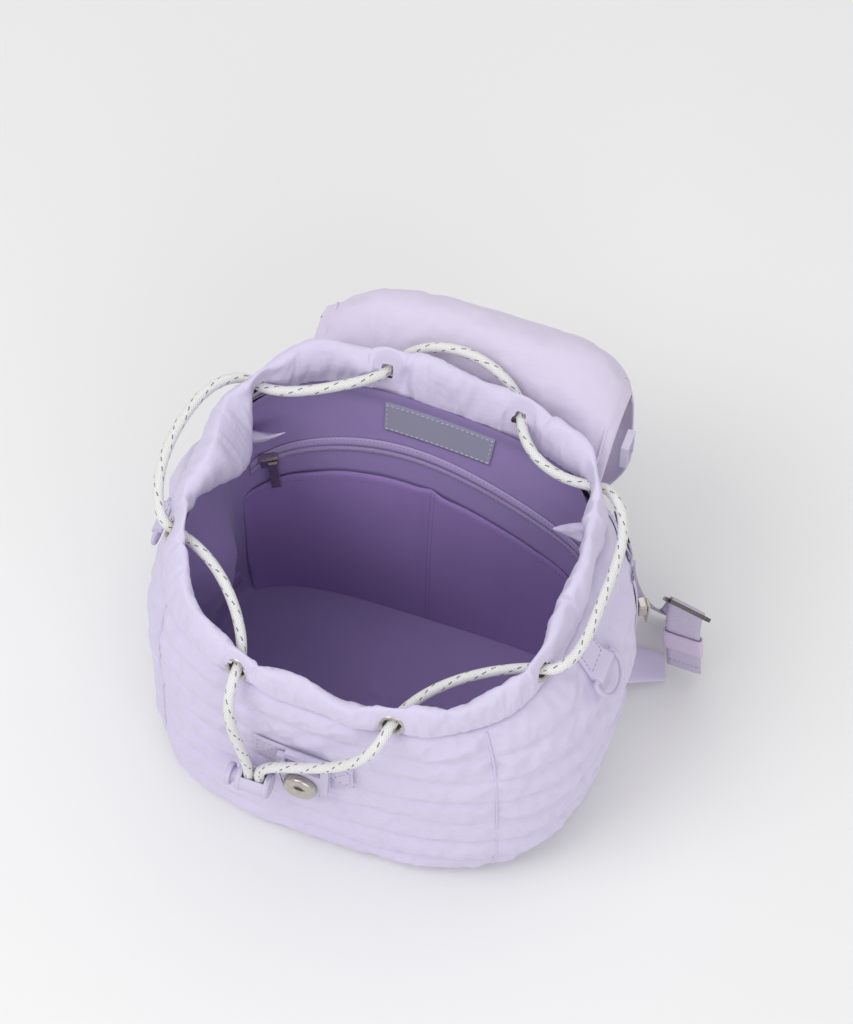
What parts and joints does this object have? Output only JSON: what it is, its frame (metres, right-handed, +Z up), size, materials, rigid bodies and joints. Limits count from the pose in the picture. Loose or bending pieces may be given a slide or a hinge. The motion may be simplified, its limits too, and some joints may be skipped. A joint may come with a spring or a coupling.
{
  "type": "drawstring backpack",
  "caption": "Padded quilted backpack standing open, with a drawcord top, side rings, shoulder straps and a lid thrown back behind it.",
  "frame": {"origin": "on the ground, at the middle of the wall's sections", "axes": "X to the bag's right seen from the front, -Y out of the front, +Z up"},
  "size_m": [0.3748, 0.3263, 0.2602],
  "materials": {
    "shell_nylon": "satin nylon",
    "lid_nylon": "satin nylon",
    "dark_lining": "plain weave",
    "label_cloth": "woven",
    "webbing": "ribbed webbing",
    "cord_white": "braided cord",
    "nickel": "polished nickel",
    "lilac_plastic": "moulded"
  },
  "bodies": {
    "bag": {"base_panel": "shell_nylon", "body_lining": "dark_lining", "body_shell": "shell_nylon", "cord_lock_barrel": "lilac_plastic", "d_ring_tab_left": "webbing", "d_ring_tab_right": "webbing", "drawcord": "cord_white", "eyelet_back_left": "nickel", "eyelet_back_right": "nickel", "eyelet_front_left": "nickel", "eyelet_front_right": "nickel", "eyelet_left_back": "nickel", "eyelet_left_front": "nickel", "eyelet_right_back": "nickel", "eyelet_right_front": "nickel", "front_frame": "lilac_plastic", "front_webbing": "webbing", "label": "label_cloth", "lid": "lid_nylon", "lid_loop": "lilac_plastic", "lining_tab": "dark_lining", "magnet_snap": "nickel", "pocket_zip": "dark_lining", "pocket_zip_pull": "nickel", "pocket_zip_slider": "nickel", "rim_band": "shell_nylon", "side_zip": "webbing", "side_zip_pull": "nickel", "side_zip_slider": "nickel", "slip_pocket": "dark_lining", "strap_buckle_left": "nickel", "strap_buckle_right": "nickel", "strap_keeper_left": "lid_nylon", "strap_keeper_right": "lid_nylon", "strap_tab_left": "shell_nylon", "strap_tab_right": "shell_nylon", "strap_webbing_left": "webbing", "strap_webbing_right": "webbing", "strap_wing_left": "shell_nylon", "strap_wing_right": "shell_nylon"},
    "plunger": {"cord_lock_plunger": "lilac_plastic"},
    "ring_right": {"d_ring_right": "lilac_plastic"},
    "ring_left": {"d_ring_left": "lilac_plastic"}
  },
  "joints": [
    {"name": "plunger_slide", "type": "slide", "parent": "bag", "child": "plunger", "axis": [1, 0, 0], "range_m": [0, 0.003], "stiffness_N_per_m": 600},
    {"name": "ring_right_hinge", "type": "hinge", "parent": "bag", "child": "ring_right", "pos_m": [0.15615, -0.01103, 0.16446], "axis": [0.0276, 0.9916, 0.1265], "range_deg": [-110, 0]},
    {"name": "ring_left_hinge", "type": "hinge", "parent": "bag", "child": "ring_left", "pos_m": [-0.14824, -0.01027, 0.17819], "axis": [0.0136, -0.99, -0.1405], "range_deg": [-110, 0]}
  ]
}
